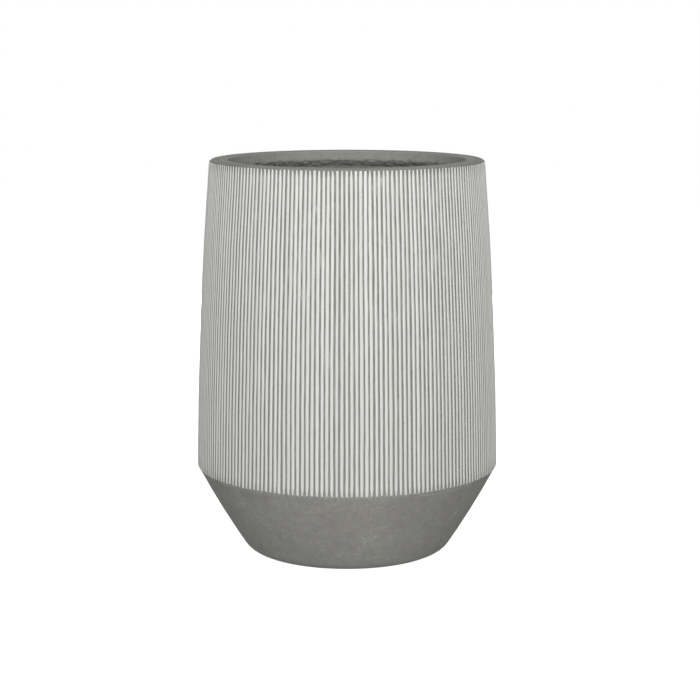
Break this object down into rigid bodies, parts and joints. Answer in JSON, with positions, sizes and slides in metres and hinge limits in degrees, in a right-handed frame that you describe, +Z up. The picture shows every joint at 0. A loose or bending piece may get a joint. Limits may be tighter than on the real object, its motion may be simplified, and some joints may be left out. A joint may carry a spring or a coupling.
{
  "type": "planter",
  "caption": "Tall round planter with a bowed, upright-ribbed wall over a plain coned base, a thick collar inside the rim and a rubber stopper in the drain hole.",
  "frame": {"origin": "centre of the ring that the pot stands on, at ground level", "axes": "+Z up along the pot's axis; the pot is round, so X and Y may point anywhere level, and -Y is the side that the picture shows"},
  "size_m": [0.3998, 0.3998, 0.52],
  "materials": {
    "cement": "matte grey fibre cement, finely speckled and softly mottled",
    "white_coat": "matte off-white mineral coat, combed by hand, worn thin at its edges",
    "rubber": "matte black moulded rubber"
  },
  "bodies": {
    "pot": {"pot_shell": "cement", "rim_collar": "cement", "rib_coat": "white_coat"},
    "stopper": {"drain_plug": "rubber"}
  },
  "joints": [
    {"name": "stopper_lift", "type": "slide", "parent": "pot", "child": "stopper", "axis": [0, 0, 1], "range_m": [0, 0.53]}
  ]
}
